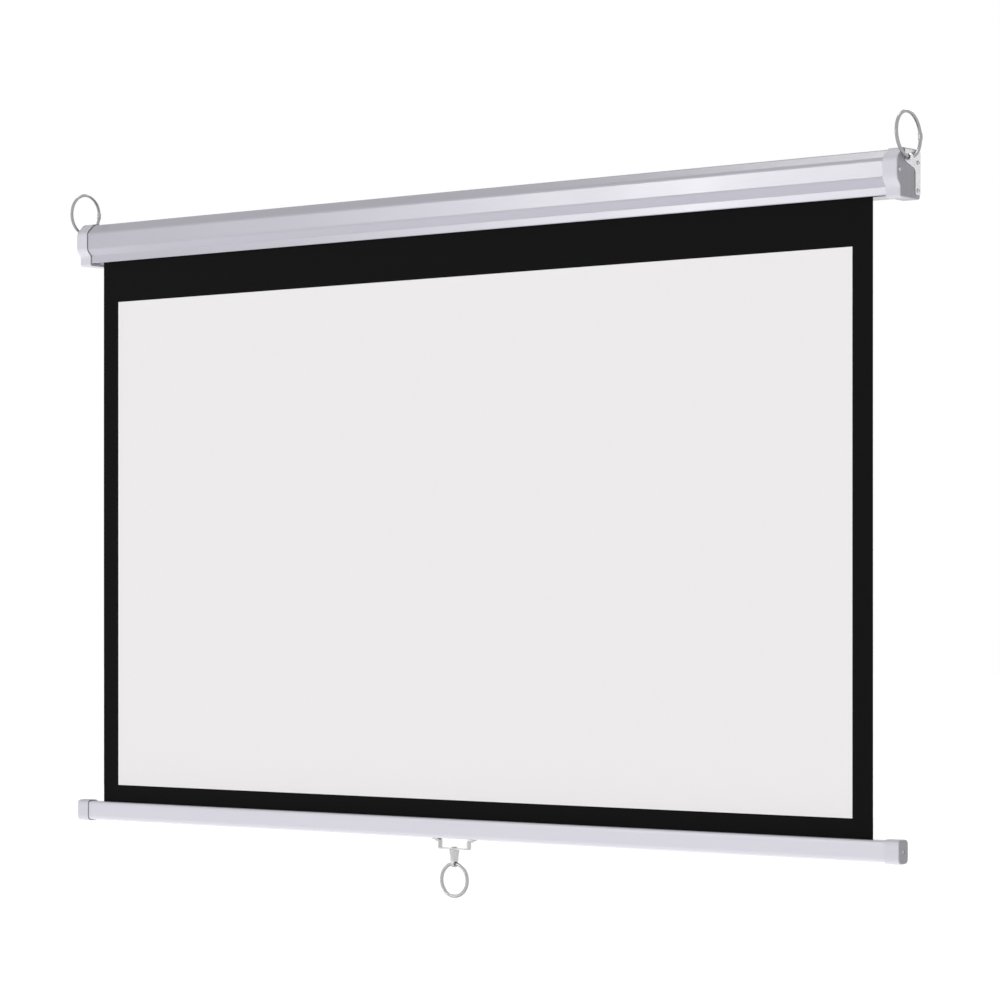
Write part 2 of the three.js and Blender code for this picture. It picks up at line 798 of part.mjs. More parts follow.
// A cap for the right end of the bar: sleeve, end wall and a recess for its screw
function barCap() {
  const outline = barShape(capClearance + barCapWall);
  const inner = barCapOuter - barCapLength;
  const body = alongX(outline, inner - barCapRound, barCapOuter - barCapRound, {
    bevelEnabled: true,
    bevelThickness: barCapRound,
    bevelSize: barCapRound,
    bevelOffset: -barCapRound,
    bevelSegments: 3,
  });
  const room = barHeight + barDepth;
  const trim = block(
    [inner - 2 * barCapRound - overrun, inner],
    [barY - room, barY + room],
    [barMiddle - room, barMiddle + room],
  );
  const pocket = alongX(barShape(capClearance), inner - overrun, barHalf + seatGap);
  const hole = rodX(screwHole, barHalf - overrun, barCapOuter + overrun, barY, barMiddle, 12);
  const recessRadius = screwHeadRadius + seatGap;
  const recess = rodX(recessRadius, barCapOuter - barCapRecess, barCapOuter + overrun, barY, barMiddle, 16);
  return shaped(body, [], [trim, pocket, hole, recess]);
}

// Handle bail: a bent strap under the bar, with two feet, two legs and a cross piece
const bailTop = barBottom - seatGap;
const bailInner = bailWidth / 2 - bailThickness;
const crossTop = bailTop - bailDrop + bailThickness;
const crossBottom = bailTop - bailDrop;
const bailScrewPlaces = [-1, 1].map((side) => side * (bailWidth / 2 + bailFoot / 2));

function pullBail() {
  const footEnd = bailWidth / 2 + bailFoot;
  const legFoot = bailTop - bailThickness;
  const points = [
    [-bailWidth / 2, crossBottom],
    [bailWidth / 2, crossBottom],
    [bailWidth / 2, legFoot],
    [footEnd, legFoot],
    [footEnd, bailTop],
    [bailInner, bailTop],
    [bailInner, crossTop],
    [-bailInner, crossTop],
    [-bailInner, bailTop],
    [-footEnd, bailTop],
    [-footEnd, legFoot],
    [-bailWidth / 2, legFoot],
  ];
  const inside = bailCorner - bailThickness;
  const radii = [bailCorner, bailCorner, inside, 0, 0, bailCorner, inside, inside, bailCorner, 0, 0, inside];
  const strap = alongY(rounded(points, radii), barY - bailStrap / 2, barY + bailStrap / 2);
  const rivetHole = rodZ(rivetRadius + seatGap, crossBottom - overrun, crossTop + overrun, 0, barY, 16);
  const screwHoles = bailScrewPlaces.map((x) =>
    rodZ(screwHole, legFoot - overrun, bailTop + overrun, x, barY, 12));
  return shaped(strap, [], [rivetHole, ...screwHoles]);
}

// Swivel neck: a rivet head over the cross piece, a shank through it, and a neck with an eye below
const neckTop = crossBottom - seatGap;
const neckFoot = neckTop - neckLength;
const pullEyeZ = neckFoot - pullEyeDrop;
const pullEyeRadius = pullRingWire / 2 + pullEyeGap;
const tongueRadius = pullEyeRadius + tongueWall;

function handleNeck() {
  const headFoot = crossTop + seatGap;
  const shoulderShare = 0.25;
  const waistShare = 0.6;
  const profile = [
    [0, neckFoot],
    [neckWaist, neckFoot],
    [neckWaist, neckTop - neckLength * waistShare],
    [neckRadius, neckTop - neckLength * shoulderShare],
    [neckRadius, neckTop],
    [rivetRadius, neckTop],
    [rivetRadius, headFoot],
    [rivetHeadRadius, headFoot],
    [rivetHeadRadius, headFoot + rivetHeadHeight / 2],
    [rivetHeadRadius - rivetHeadHeight / 2, headFoot + rivetHeadHeight],
    [0, headFoot + rivetHeadHeight],
  ].map(([radius, place]) => new THREE.Vector2(radius, place));
  const body = new THREE.LatheGeometry(profile, roundSteps).rotateX(Math.PI / 2).translate(0, barY, 0);
  const half = tongueThickness / 2;
  const tongue = rodX(tongueRadius, -half, half, barY, pullEyeZ, 20);
  const stalk = block([-half, half], [barY - tongueRadius, barY + tongueRadius], [pullEyeZ, neckFoot + overrun]);
  const eye = rodX(pullEyeRadius, -neckRadius - overrun, neckRadius + overrun, barY, pullEyeZ, 16);
  return shaped(body, [tongue, stalk], [eye]);
}

function pullRing() {
  const ring = new THREE.TorusGeometry(pullRingRadius, pullRingWire / 2, wireSteps, ringSteps);
  return ring.rotateX(Math.PI / 2).translate(0, barY, pullEyeZ - pullRingRadius);
}

// Assembly

const screen = new THREE.Group();

function addPair(name, geometry, material) {
  screen.add(part(`${name}_right`, geometry, material));
  screen.add(part(`${name}_left`, mirrored(geometry), material));
}

screen.add(part("case_shell", caseShell(), casePaint));
screen.add(part("end_cap_right", endCap(pinSocket), capPlastic));
screen.add(part("end_cap_left", mirrored(endCap(tangSocket)), capPlastic));
addPair("hanger", hanger(), hangerSteel);

for (const [side, name] of [[1, "right"], [-1, "left"]]) {
  const outward = new THREE.Vector3(side, 0, 0);
  const onPlate = side * (plateOuter + seatGap);
  screen.add(screwPart(`hanger_screw_upper_${name}`, hangerScrewLength, outward, [onPlate, ...portPlaces.upper]));
  screen.add(screwPart(`hanger_screw_lower_${name}`, hangerScrewLength, outward, [onPlate, ...portPlaces.lower]));
  const onCap = side * (capOuter + seatGap);
  screen.add(screwPart(`cap_screw_${name}`, capScrewLength, outward, [onCap, ...portPlaces.front]));
  const onBarCap = side * (barCapOuter - barCapRecess + seatGap);
  screen.add(screwPart(`bar_cap_screw_${name}`, capScrewLength, outward, [onBarCap, barY, barMiddle]));

  const ring = part(`hanging_ring_${name}`, hangingRing(), ringSteel);
  ring.position.set(side * eyeX, -ringLineFromBack, eyeHeight);
  ring.rotation.y = -side * ringLean;
  screen.add(ring);
}

screen.add(part("idle_pin", rodX(idlePinRadius, capWallInner - seatGap - idlePinLength, capWallInner - seatGap,
  axisY, 0), shaftSteel));
screen.add(part("spring_shaft", springShaft(), shaftSteel));
screen.add(part("lock_core", lockCore(), shaftSteel));
screen.add(part("torsion_spring", torsionSpring(), shaftSteel));
screen.add(part("spring_collar", ringOnShaft(collarFrom, collarLength, collarRadius, shaftBore), shaftSteel));

const roller = new THREE.Group();
roller.add(part("roller_tube", rollerTube(), rollerAlloy));
roller.add(part("fixing_rod", rodX(fixingRodRadius, -sheetHalf, sheetHalf, axisY, chamberHeight, 10), plugNylon));
roller.add(part("sheet_turns", sheetTurns(), maskBlack));
roller.add(part("spring_end_plug", springPlug(), plugNylon));
roller.add(part("idle_end_plug", idlePlug(), plugNylon));
roller.add(part("idle_bush", idleBush(), plugNylon));
const bearing = ringOnShaft(bearingFrom, bearingLength, stemRadius, shaftBore);
const bearingKeyway = keyway(bearingFrom - overrun, bearingFrom + bearingLength + overrun);
roller.add(part("inner_bearing", shaped(bearing, [], [bearingKeyway]), plugNylon));
for (let i = 0; i < lockBallCount; i += 1) {
  const angle = (2 * Math.PI * i) / lockBallCount + Math.PI / 2;
  const ball = part(`lock_ball_${i + 1}`, new THREE.SphereGeometry(lockBallRadius, 10, 8), shaftSteel);
  ball.position.set(
    lockCoreMiddle,
    axisY + lockBallLine * Math.cos(angle),
    lockBallLine * Math.sin(angle),
  );
  roller.add(ball);
}
screen.add(roller);

screen.add(part("sheet_backing", block([-sheetHalf, sheetHalf], [backingFront, backingBack], [sheetBottom, 0]),
  maskBlack));
screen.add(part("picture_face", block([-pictureWidth / 2, pictureWidth / 2], [faceFront, backingFront],
  [barTop + bottomMask, barTop + bottomMask + pictureHeight]), pictureWhite));

const bar = new THREE.Group();
bar.add(part("weight_bar", weightBar(), barPaint));
bar.add(part("bar_cap_right", barCap(), capPlastic));
bar.add(part("bar_cap_left", mirrored(barCap()), capPlastic));
bar.add(part("hem_rod", rodX(hemRodRadius, -sheetHalf, sheetHalf, barY, hemRodZ, 12), plugNylon));
bar.add(part("pull_bail", pullBail(), handleSteel));
const footUnder = bailTop - bailThickness - seatGap;
for (const [x, name] of [[bailScrewPlaces[1], "right"], [bailScrewPlaces[0], "left"]]) {
  const down = new THREE.Vector3(0, 0, -1);
  bar.add(screwPart(`bail_screw_${name}`, bailScrewLength, down, [x, barY, footUnder]));
}
bar.add(part("handle_neck", handleNeck(), handleSteel));
bar.add(part("pull_ring", pullRing(), handleSteel));
screen.add(bar);

export default screen;
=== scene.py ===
"""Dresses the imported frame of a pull-down projection screen with its finishes, cloth and stage."""

import math

import bmesh
import bpy
from bpy.props import FloatProperty, FloatVectorProperty, PointerProperty
from mathutils import Matrix, Vector


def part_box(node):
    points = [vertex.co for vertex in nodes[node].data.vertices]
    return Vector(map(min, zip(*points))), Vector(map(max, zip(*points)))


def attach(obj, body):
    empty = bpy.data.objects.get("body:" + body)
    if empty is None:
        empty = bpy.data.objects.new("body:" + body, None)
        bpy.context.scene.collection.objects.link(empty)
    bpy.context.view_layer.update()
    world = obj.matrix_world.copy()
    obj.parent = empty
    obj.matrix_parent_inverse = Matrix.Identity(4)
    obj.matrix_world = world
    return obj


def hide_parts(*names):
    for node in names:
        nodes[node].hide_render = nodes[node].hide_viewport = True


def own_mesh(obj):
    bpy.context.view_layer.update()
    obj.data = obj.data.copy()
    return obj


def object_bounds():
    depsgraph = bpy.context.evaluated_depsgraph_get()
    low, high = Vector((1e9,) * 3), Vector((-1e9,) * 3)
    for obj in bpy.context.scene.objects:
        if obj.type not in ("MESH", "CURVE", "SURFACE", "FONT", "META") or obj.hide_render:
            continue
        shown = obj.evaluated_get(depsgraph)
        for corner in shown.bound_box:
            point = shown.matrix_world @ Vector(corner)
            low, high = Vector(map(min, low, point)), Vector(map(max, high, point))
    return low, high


bl_info = {
    "name": "Pull-down projection screen",
    "version": (1, 0, 0),
    "blender": (4, 5, 0),
    "location": "View3D > Sidebar > Screen",
    "description": "Dresses a projection screen with paint, plastic, metal and coated cloth",
    "category": "Object",
}

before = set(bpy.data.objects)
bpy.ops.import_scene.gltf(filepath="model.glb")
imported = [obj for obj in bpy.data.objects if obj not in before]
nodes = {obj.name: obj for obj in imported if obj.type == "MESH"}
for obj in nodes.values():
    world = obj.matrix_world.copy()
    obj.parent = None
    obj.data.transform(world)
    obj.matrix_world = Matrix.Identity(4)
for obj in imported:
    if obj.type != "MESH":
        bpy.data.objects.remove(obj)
frame_low, frame_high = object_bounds()
SIDES = {"left": -1, "right": 1}


# Settings


def swatch(name, description, default):
    """A colour that the user can change."""
    return FloatVectorProperty(
        name=name, description=description, default=default,
        subtype="COLOR", size=3, min=0.0, max=1.0,
    )


def measure(name, description, default):
    """A size in metres that the user can change."""
    return FloatProperty(
        name=name, description=description, default=default,
        unit="LENGTH", subtype="DISTANCE", precision=5,
    )


def level(name, description, default):
    """A strength of light, where 1 shows a white face as white."""
    return FloatProperty(name=name, description=description, default=default, min=0.0)


class ScreenClothSettings(bpy.types.PropertyGroup):
    """Sizes and colours of the hanging sheet"""

    white: swatch("White", "Colour of the picture area", (0.772, 0.758, 0.765))
    black: swatch("Black", "Colour of the mask and of the back", (0.0040, 0.0038, 0.0042))
    weave_pitch: measure("Weave pitch", "Distance between threads of the cloth", 0.0007)
    wave_depth: measure("Wave depth", "How far the hanging cloth curls out of its plane", 0.0005)


class ScreenFinishSettings(bpy.types.PropertyGroup):
    """Colours and grain of the hard parts"""

    case_paint: swatch("Case paint", "Powder paint on the case", (0.415, 0.406, 0.460))
    bar_paint: swatch("Bar paint", "Powder paint on the weight bar", (0.60, 0.59, 0.648))
    cap_plastic: swatch("Cap plastic", "Moulded plastic of the end caps", (0.57, 0.56, 0.612))
    hanger_zinc: swatch("Hanger zinc", "Bright zinc on the hangers", (0.72, 0.72, 0.74))
    ring_zinc: swatch("Ring zinc", "Zinc on the wire rings", (0.36, 0.36, 0.37))
    screw_zinc: swatch("Screw zinc", "Zinc on the screws", (0.56, 0.56, 0.58))
    handle_steel: swatch("Handle steel", "Plated steel of bail and neck", (0.525, 0.533, 0.525))
    pull_ring_steel: swatch("Pull ring steel", "Plated steel of the pull ring", (0.42, 0.42, 0.42))
    roller_alloy: swatch("Roller alloy", "Drawn alloy of the roller tube", (0.62, 0.63, 0.65))
    shaft_steel: swatch("Shaft steel", "Oiled steel of shaft and spring", (0.30, 0.31, 0.32))
    plug_nylon: swatch("Plug nylon", "Natural nylon of plugs and rods", (0.70, 0.68, 0.62))
    paint_peel: measure("Paint peel", "Width of the dimples in the paint", 0.0016)
    mould_grain: measure("Mould grain", "Width of the grain on moulded plastic", 0.0007)
    edge_radius: measure("Edge radius", "Radius that an edge looks worn to", 0.0005)


class ScreenStageSettings(bpy.types.PropertyGroup):
    """Camera, floor and lamps"""

    focal_length: FloatProperty(
        name="Focal length", description="Lens of the camera", default=121.2, unit="CAMERA",
        min=10.0,
    )
    rise: FloatProperty(name="Rise", description="Upward shift of the lens", default=0.103)
    camera_turn: FloatProperty(
        name="Camera turn", description="Angle round the object, from the front toward the right",
        default=math.radians(37.7), subtype="ANGLE",
    )
    floor_drop: measure("Floor drop", "Distance of the floor under the bar", 1.0)
    ambient: level("Ambient", "Even light from all round", 0.20)
    key: level("Key", "Light from the front", 0.680)
    sheen: level("Sheen", "Light that only gloss shows", 0.105)
    top_sheen: level("Top sheen", "Light from above that only gloss shows", 0.20)
    back: level("Back", "Light from behind", 0.30)
    under: level("Under", "Light from below the left end", 0.60)
    wash: level("Wash", "Light on the floor alone", 0.75)


def finish_settings():
    return bpy.context.scene.screen_finish


# Node trees

WHITE = (1.0, 1.0, 1.0, 1.0)
BLANK_COLOUR = (0.8, 0.8, 0.8, 1.0)
DUST_COLOUR = (0.52, 0.50, 0.47, 1.0)
WHOLE_SPAN = (0.0, 1.0)
NOISE_SPAN = (0.3, 0.7)
SOCKETS = {"colour": "NodeSocketColor", "number": "NodeSocketFloat", "vector": "NodeSocketVector"}


class Tree:
    """Short words for making and joining the nodes of one tree."""

    def __init__(self, tree):
        self.tree = tree

    def node(self, kind, **settings):
        made = self.tree.nodes.new(kind)
        for name, value in settings.items():
            setattr(made, name, value)
        return made

    def feed(self, socket, value):
        """A socket's value: from another socket, or a number or colour of its own."""
        if isinstance(value, bpy.types.NodeSocket):
            self.tree.links.new(value, socket)
        else:
            socket.default_value = value

    def wired(self, kind, inputs, **settings):
        """The outputs of a node whose inputs are fed, each by its name or number."""
        made = self.node(kind, **settings)
        for label, value in inputs.items():
            self.feed(made.inputs[label], value)
        return made.outputs

    def math(self, operation, first, second=0.0, clamp=False):
        inputs = {0: first, 1: second}
        return self.wired("ShaderNodeMath", inputs, operation=operation, use_clamp=clamp)[0]

    def vector(self, operation, first, second):
        inputs = {0: first, "Scale" if operation == "SCALE" else 1: second}
        result = "Value" if operation == "DOT_PRODUCT" else "Vector"
        return self.wired("ShaderNodeVectorMath", inputs, operation=operation)[result]

    def spread(self, value, span, to=WHOLE_SPAN):
        """What lies in one span moved to another, and held at its ends."""
        inputs = {"Value": value, "From Min": span[0], "From Max": span[1],
                  "To Min": to[0], "To Max": to[1]}
        return self.wired("ShaderNodeMapRange", inputs)["Result"]

    def noise(self, vector, scale, detail=2.0, roughness=0.5):
        inputs = {"Vector": vector, "Scale": scale, "Detail": detail, "Roughness": roughness}
        return self.wired("ShaderNodeTexNoise", inputs)["Fac"]

    def cells(self, vector, scale, feature):
        inputs = {"Vector": vector, "Scale": scale}
        return self.wired("ShaderNodeTexVoronoi", inputs, feature=feature)

    def axes(self, vector):
        return self.wired("ShaderNodeSeparateXYZ", {"Vector": vector})

    def tinted(self, colour, factor):
        """A colour times a number that changes over the surface."""
        return self.vector("SCALE", colour, factor)

    def mixed(self, factor, first, second):
        """Two colours mixed, where a factor of 1 shows the second."""
        made = self.node("ShaderNodeMix", data_type="RGBA")
        self.feed(made.inputs["Factor"], factor)
        colours = [socket for socket in made.inputs if socket.type == "RGBA"]
        self.feed(colours[0], first)
        self.feed(colours[1], second)
        return next(socket for socket in made.outputs if socket.type == "RGBA")

    def bump(self, height, distance, normal=None):
        inputs = {"Height": height, "Distance": distance}
        if normal is not None:
            inputs["Normal"] = normal
        return self.wired("ShaderNodeBump", inputs)["Normal"]

    def place(self):
        return self.node("ShaderNodeTexCoord").outputs["Object"]

    def geometry(self):
        return self.node("ShaderNodeNewGeometry").outputs


def cleared(data):
    """The emptied node tree of a material or world."""
    data.use_nodes = True
    data.node_tree.nodes.clear()
    return Tree(data.node_tree)


# Shader groups


def node_group(name, inputs, outputs):
    """An empty shader group with named sockets, and its tree, input node and output node."""
    group = bpy.data.node_groups.new(name, "ShaderNodeTree")
    for label, kind, default in inputs:
        socket = group.interface.new_socket(label, in_out="INPUT", socket_type=SOCKETS[kind])
        socket.default_value = default
    for label, kind in outputs:
        group.interface.new_socket(label, in_out="OUTPUT", socket_type=SOCKETS[kind])
    tree = Tree(group)
    given = tree.node("NodeGroupInput").outputs
    return group, tree, given, tree.node("NodeGroupOutput").inputs


def skin_group(name, *inputs):
    """A shader group that gives the colour, roughness and height of a skin."""
    outputs = [("Colour", "colour"), ("Roughness", "number"), ("Height", "number")]
    return node_group(name, [("Colour", "colour", BLANK_COLOUR), *inputs], outputs)


def fill_skin(tree, given, out, shade, roughness, height):
    """Feeds what a skin group puts out, with its colour made lighter or darker by the shade."""
    tree.feed(out["Colour"], tree.tinted(given["Colour"], shade))
    tree.feed(out["Roughness"], roughness)
    tree.feed(out["Height"], height)


def edge_group():
    """Rounds the look of sharp edges, and masks where they have rubbed."""
    group, tree, given, out = node_group(
        "Rubbed edges",
        [("Radius", "number", 0.0005), ("Wear", "number", 0.3)],
        [("Normal", "vector"), ("Mask", "number")],
    )
    edge_turn, bare_patch = (0.02, 0.2), (0.42, 0.66)
    soft = tree.wired("ShaderNodeBevel", {"Radius": given["Radius"]}, samples=4)["Normal"]
    alike = tree.vector("DOT_PRODUCT", soft, tree.geometry()["Normal"])
    turned = tree.spread(tree.math("SUBTRACT", 1.0, alike), edge_turn)
    patches = tree.spread(tree.noise(tree.place(), scale=60.0, detail=3.0), bare_patch)
    worn = tree.math("MULTIPLY", turned, patches)
    tree.feed(out["Normal"], soft)
    tree.feed(out["Mask"], tree.math("MULTIPLY", worn, given["Wear"], clamp=True))
    return group


def dust_group():
    """Dust that settles on upward faces, as a mask."""
    group, tree, given, out = node_group(
        "Settled dust", [("Amount", "number", 0.1)], [("Mask", "number")]
    )
    facing_up, dusty_patch = (0.3, 0.95), (0.35, 0.7)
    upward = tree.spread(tree.axes(tree.geometry()["Normal"])["Z"], facing_up)
    clumps = tree.noise(tree.place(), scale=24.0, detail=5.0, roughness=0.6)
    settled = tree.math("MULTIPLY", upward, tree.spread(clumps, dusty_patch))
    tree.feed(out["Mask"], tree.math("MULTIPLY", settled, given["Amount"]))
    return group


def paint_group():
    """Powder paint: shallow dimples, and slow changes of shade and gloss."""
    group, tree, given, out = skin_group(
        "Powder paint", ("Dimple", "number", 0.0016), ("Gloss", "number", 0.4)
    )
    cloud_shade, speck_shade, cloud_gloss = (0.98, 1.02), (-0.012, 0.012), (-0.03, 0.03)
    place = tree.place()
    dimples = tree.noise(place, tree.math("DIVIDE", 1.0, given["Dimple"]), detail=1.0)
    clouds = tree.noise(place, scale=4.0, detail=2.0)
    specks = tree.noise(place, scale=900.0, detail=1.0)
    shade = tree.math(
        "ADD",
        tree.spread(clouds, WHOLE_SPAN, cloud_shade),
        tree.spread(specks, WHOLE_SPAN, speck_shade),
    )
    gloss = tree.math("ADD", given["Gloss"], tree.spread(clouds, WHOLE_SPAN, cloud_gloss))
    fill_skin(tree, given, out, shade, gloss, dimples)
    return group


def mould_group():
    """Moulded plastic: fine grain from the mould, with flow marks."""
    group, tree, given, out = skin_group(
        "Moulded grain", ("Grain", "number", 0.0007), ("Gloss", "number", 0.5)
    )
    flow_stretch, flow_shade, flow_gloss = (14.0, 14.0, 40.0), (0.975, 1.015), (-0.04, 0.06)
    place = tree.place()
    grain = tree.cells(place, tree.math("DIVIDE", 1.0, given["Grain"]), "SMOOTH_F1")
    flow = tree.noise(tree.vector("MULTIPLY", place, flow_stretch), scale=1.0, detail=3.0)
    shade = tree.spread(flow, NOISE_SPAN, flow_shade)
    gloss = tree.math("ADD", given["Gloss"], tree.spread(flow, NOISE_SPAN, flow_gloss))
    fill_skin(tree, given, out, shade, gloss, grain["Distance"])
    return group


def metal_group():
    """Plated or drawn metal: grain that runs one way, with dull patches."""
    group, tree, given, out = skin_group(
        "Metal grain",
        ("Run", "vector", (400.0, 400.0, 400.0)),
        ("Gloss", "number", 0.3),
        ("Spangle", "number", 0.0),
    )
    grain_shade, grain_gloss, patch_gloss = (0.93, 1.05), (-0.04, 0.04), (-0.05, 0.1)
    place = tree.place()
    run = tree.vector("MULTIPLY", place, given["Run"])
    grain = tree.noise(run, scale=1.0, detail=3.0, roughness=0.6)
    flakes = tree.cells(place, 260.0, "F1")["Color"]
    flake = tree.wired("ShaderNodeSeparateColor", {"Color": flakes})["Red"]
    spangle = tree.math("MULTIPLY", tree.math("SUBTRACT", flake, 0.5), given["Spangle"])
    patches = tree.noise(place, scale=35.0, detail=3.0)
    shade = tree.math("ADD", tree.spread(grain, NOISE_SPAN, grain_shade), spangle)
    dulled = tree.math("ADD", given["Gloss"], tree.spread(patches, NOISE_SPAN, patch_gloss))
    gloss = tree.math("ADD", dulled, tree.spread(grain, NOISE_SPAN, grain_gloss))
    fill_skin(tree, given, out, shade, gloss, grain)
    return group


def cloth_group():
    """Coated cloth: a plain weave that shows faintly through its matt coating."""
    group, tree, given, out = skin_group(
        "Coated weave", ("Pitch", "number", 0.0007), ("Cover", "number", 0.6)
    )
    nub_height, nub_gloss = (-0.3, 0.3), (0.86, 0.98)
    height_span, height_shade, cloud_shade = (-1.0, 1.0), (-0.01, 0.01), (0.998, 1.002)
    place = tree.place()
    turns = tree.math("DIVIDE", math.pi, given["Pitch"])
    axes = tree.axes(place)
    warp, weft = [
        tree.math("SINE", tree.math("MULTIPLY", axes[axis], turns)) for axis in ("X", "Z")
    ]
    nubs = tree.noise(place, scale=1400.0, detail=2.0)
    clouds = tree.noise(place, scale=3.0, detail=3.0)
    bare = tree.math("SUBTRACT", 1.0, given["Cover"])
    woven = tree.math("MULTIPLY", tree.math("MULTIPLY", warp, weft), bare)
    height = tree.math("ADD", woven, tree.spread(nubs, NOISE_SPAN, nub_height))
    shade = tree.math(
        "ADD",
        tree.spread(clouds, WHOLE_SPAN, cloud_shade),
        tree.spread(height, height_span, height_shade),
    )
    fill_skin(tree, given, out, shade, tree.spread(nubs, NOISE_SPAN, nub_gloss), height)
    return group


GROUP_MAKERS = {
    "edge": edge_group,
    "dust": dust_group,
    "paint": paint_group,
    "mould": mould_group,
    "metal": metal_group,
    "cloth": cloth_group,
}
groups = {}


def placed(tree, name, **values):
    """The outputs of a shared group placed in a material. It is built for the first of them."""
    if name not in groups:
        groups[name] = GROUP_MAKERS[name]()
    return tree.wired("ShaderNodeGroup", values, node_tree=groups[name])


# Materials


def opaque(colour):
    return (*colour, 1.0)


def blank_material(name, **constants):
    """A material with a Principled shader whose own sockets hold the constants."""
    material = bpy.data.materials.new(name)
    tree = cleared(material)
    shader = tree.node("ShaderNodeBsdfPrincipled")
    for label, value in constants.items():
        shader.inputs[label.replace("_", " ")].default_value = value
    tree.feed(tree.node("ShaderNodeOutputMaterial").inputs["Surface"], shader.outputs["BSDF"])
    return material, tree, shader


def hard_material(name, kind, colour, values, depth, wear, worn_colour, dust=0.0, **constants):
    """A finish for a hard part: one group for the skin, with rubbed edges and a little dust."""
    material, tree, shader = blank_material(name, **constants)
    skin = placed(tree, kind, Colour=opaque(colour), **values)
    edges = placed(tree, "edge", Radius=finish_settings().edge_radius, Wear=wear)
    base = tree.mixed(edges["Mask"], skin["Colour"], opaque(worn_colour))
    if dust:
        base = tree.mixed(placed(tree, "dust", Amount=dust)["Mask"], base, DUST_COLOUR)
    tree.feed(shader.inputs["Base Color"], base)
    tree.feed(shader.inputs["Roughness"], skin["Roughness"])
    tree.feed(shader.inputs["Normal"], tree.bump(skin["Height"], depth, edges["Normal"]))
    return material


def paint_material(name, colour):
    values = {"Dimple": finish_settings().paint_peel, "Gloss": 0.22}
    return hard_material(
        name, "paint", colour, values, depth=0.00003, wear=0.25, worn_colour=(0.84, 0.84, 0.86),
        dust=0.06, IOR=1.5,
    )


def plastic_material(name, colour, gloss=0.46):
    values = {"Grain": finish_settings().mould_grain, "Gloss": gloss}
    return hard_material(
        name, "mould", colour, values, depth=0.00002, wear=0.3, worn_colour=(0.82, 0.82, 0.84),
        dust=0.06, IOR=1.48,
    )


def metal_material(name, colour, gloss, run=(300.0, 300.0, 300.0), spangle=0.0):
    values = {"Run": run, "Gloss": gloss, "Spangle": spangle}
    bright = tuple(min(1.0, 1.25 * part) for part in colour)
    return hard_material(
        name, "metal", colour, values, depth=0.000008, wear=0.4, worn_colour=bright, Metallic=1.0
    )


def cloth_material(name, colour, cover):
    pitch = bpy.context.scene.screen_cloth.weave_pitch
    material, tree, shader = blank_material(name, Specular_IOR_Level=0.12)
    skin = placed(tree, "cloth", Colour=opaque(colour), Pitch=pitch, Cover=cover)
    tree.feed(shader.inputs["Base Color"], skin["Colour"])
    tree.feed(shader.inputs["Roughness"], skin["Roughness"])
    tree.feed(shader.inputs["Normal"], tree.bump(skin["Height"], distance=0.00003))
    return material


def dress(material, *names):
    """Puts a finish on nodes of the frame."""
    for name in names:
        slots = nodes[name].data.materials
        slots.clear()
        slots.append(material)


# Pieces


def both(stem):
    return [f"{stem}_{side}" for side in SIDES]


def piece(name, mesh, material, body, slot, *replaced):
    """A mesh as a piece that rides on a body and may stand for nodes of the frame."""
    made = bpy.data.objects.new(name, mesh)
    bpy.context.scene.collection.objects.link(made)
    mesh.materials.append(material)
    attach(made, body)
    if replaced:
        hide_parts(*replaced)
    return made


def smooth(mesh, degrees):
    """Shades a mesh smooth where its edges turn by less than the angle."""
    mesh.polygons.foreach_set("use_smooth", [True] * len(mesh.polygons))
    mesh.set_sharp_from_angle(angle=math.radians(degrees))


def mesh_from(build, name, smooth_below=None):
    """A mesh from what was built, shaded smooth where an angle in degrees is given."""
    bmesh.ops.recalc_face_normals(build, faces=build.faces)
    mesh = bpy.data.meshes.new(name)
    build.to_mesh(mesh)
    build.free()
    if smooth_below is not None:
        smooth(mesh, smooth_below)
    return mesh


def round_turns(steps):
    return [2 * math.pi * i / steps for i in range(steps)]


def join_rings(build, first, second):
    """Faces between two closed rings of the same number of vertices."""
    for j in range(len(first)):
        k = (j + 1) % len(first)
        build.faces.new((first[j], first[k], second[k], second[j]))


def fill_stack(build, rings):
    """A closed solid through rings of vertices, from the lowest to the highest."""
    for low, high in zip(rings, rings[1:]):
        join_rings(build, low, high)
    build.faces.new(list(reversed(rings[0])))
    build.faces.new(rings[-1])


def mesh_ring(name, centre, across, up, radius, wire, steps, sides, sleeve=None):
    """A ring of round wire. A sleeve is (turn of its middle, half its length, half its width)."""
    build = bmesh.new()
    side = across.cross(up)

    def half_width(turn):
        if sleeve is None:
            return wire / 2
        middle, half, thick = sleeve
        gap = abs((turn - middle + math.pi) % (2 * math.pi) - math.pi) * radius
        if gap >= half:
            return wire / 2
        into_end = max(0.0, gap - (half - thick))
        return max(wire / 2, math.sqrt(max(thick ** 2 - into_end ** 2, 0.0)))

    rings = []
    for turn in round_turns(steps):
        out = math.cos(turn) * side + math.sin(turn) * up
        point = centre + radius * out
        reach = half_width(turn)
        rings.append([
            build.verts.new(point + reach * (math.cos(lap) * out + math.sin(lap) * across))
            for lap in round_turns(sides)
        ])
    for i, ring in enumerate(rings):
        join_rings(build, ring, rings[(i + 1) % steps])
    return mesh_from(build, name, smooth_below=60)


